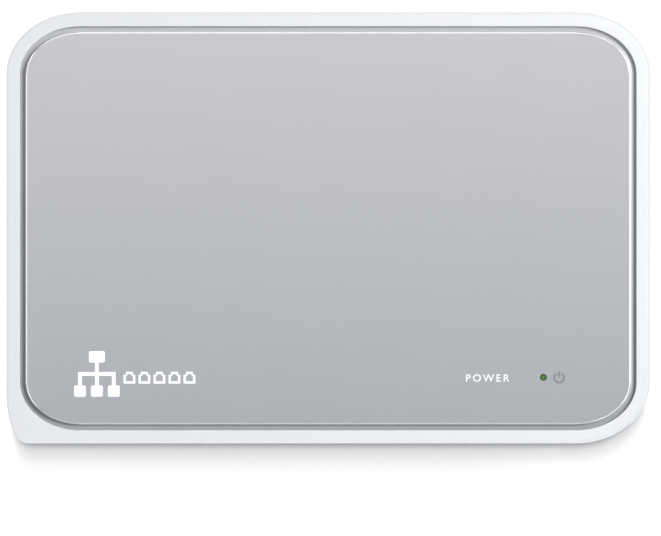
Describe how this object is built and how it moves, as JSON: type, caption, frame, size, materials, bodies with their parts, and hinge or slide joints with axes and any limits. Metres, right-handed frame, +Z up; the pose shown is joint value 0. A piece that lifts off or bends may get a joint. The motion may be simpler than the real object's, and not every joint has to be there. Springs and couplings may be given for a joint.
{
  "type": "desktop network switch",
  "caption": "Flat desktop network switch: white two-part plastic case, grey inset top panel, a row of network sockets and a round power inlet in the front wall.",
  "frame": {"origin": "centre of the footprint, on the plane that the rubber feet stand on", "axes": "+X to the right seen from the socket side, +Y to the back, away from the sockets, +Z up"},
  "size_m": [0.1036, 0.0694, 0.022],
  "materials": {
    "white_plastic": "satin moulded",
    "grey_panel": "fine satin",
    "clear_pipe": "clear moulded",
    "label_film": "printed film, blank",
    "foot_rubber": "matt",
    "steel": "nickel plated",
    "board_laminate": "solder mask",
    "black_nylon": "moulded",
    "gold_wire": "gold plated",
    "led_lens": "tinted lens",
    "chip_epoxy": "moulded epoxy",
    "tinned_lead": "tin plated",
    "capacitor_can": "sleeved can",
    "ferrite": "pressed ferrite",
    "copper_wire": "enamelled copper",
    "resistor_film": "glazed",
    "capacitor_ceramic": "fired ceramic"
  },
  "bodies": {
    "switch_body": {"top_shell": "white_plastic", "top_panel": "grey_panel", "bottom_shell": "white_plastic", "power_light_pipe": "clear_pipe", "rating_label": "label_film", "foot_front_left": "foot_rubber", "foot_front_right": "foot_rubber", "foot_rear_left": "foot_rubber", "foot_rear_right": "foot_rubber", "case_screws": "steel", "board_screws": "steel", "circuit_board": "board_laminate", "jack_housing": "black_nylon", "port_contact_tails": "gold_wire", "port_1_led": "led_lens", "port_2_led": "led_lens", "port_3_led": "led_lens", "port_4_led": "led_lens", "port_5_led": "led_lens", "dc_jack_housing": "black_nylon", "dc_jack_pin": "steel", "dc_jack_terminals": "steel", "switch_chip": "chip_epoxy", "switch_chip_leads": "tinned_lead", "quad_transformer": "chip_epoxy", "quad_transformer_leads": "tinned_lead", "single_transformer": "chip_epoxy", "single_transformer_leads": "tinned_lead", "crystal_can": "steel", "crystal_base": "steel", "input_capacitor": "capacitor_can", "output_capacitor": "capacitor_can", "inductor_core": "ferrite", "inductor_winding": "copper_wire", "regulator_chip": "chip_epoxy", "regulator_leads": "tinned_lead", "protection_diode": "chip_epoxy", "protection_diode_leads": "tinned_lead", "chip_resistors": "resistor_film", "chip_capacitors": "capacitor_ceramic", "power_led": "led_lens"},
    "port_1_contacts": {"port_1_contacts": "gold_wire"},
    "port_2_contacts": {"port_2_contacts": "gold_wire"},
    "port_3_contacts": {"port_3_contacts": "gold_wire"},
    "port_4_contacts": {"port_4_contacts": "gold_wire"},
    "port_5_contacts": {"port_5_contacts": "gold_wire"},
    "dc_jack_spring": {"dc_jack_spring": "gold_wire"}
  },
  "joints": [
    {"name": "port_1_contact_press", "type": "hinge", "parent": "switch_body", "child": "port_1_contacts", "pos_m": [-0.0307, -0.03215, 0.00875], "axis": [-1, 0, 0], "range_deg": [0, 12], "stiffness_Nm_per_rad": 0.001},
    {"name": "port_2_contact_press", "type": "hinge", "parent": "switch_body", "child": "port_2_contacts", "pos_m": [-0.0168, -0.03215, 0.00875], "axis": [-1, 0, 0], "range_deg": [0, 12], "stiffness_Nm_per_rad": 0.001},
    {"name": "port_3_contact_press", "type": "hinge", "parent": "switch_body", "child": "port_3_contacts", "pos_m": [-0.0029, -0.03215, 0.00875], "axis": [-1, 0, 0], "range_deg": [0, 12], "stiffness_Nm_per_rad": 0.001},
    {"name": "port_4_contact_press", "type": "hinge", "parent": "switch_body", "child": "port_4_contacts", "pos_m": [0.011, -0.03215, 0.00875], "axis": [-1, 0, 0], "range_deg": [0, 12], "stiffness_Nm_per_rad": 0.001},
    {"name": "port_5_contact_press", "type": "hinge", "parent": "switch_body", "child": "port_5_contacts", "pos_m": [0.0249, -0.03215, 0.00875], "axis": [-1, 0, 0], "range_deg": [0, 12], "stiffness_Nm_per_rad": 0.001},
    {"name": "dc_jack_spring_press", "type": "hinge", "parent": "switch_body", "child": "dc_jack_spring", "pos_m": [-0.0436, -0.02445, 0.0081], "axis": [1, 0, 0], "range_deg": [0, 4], "stiffness_Nm_per_rad": 0.0002}
  ]
}
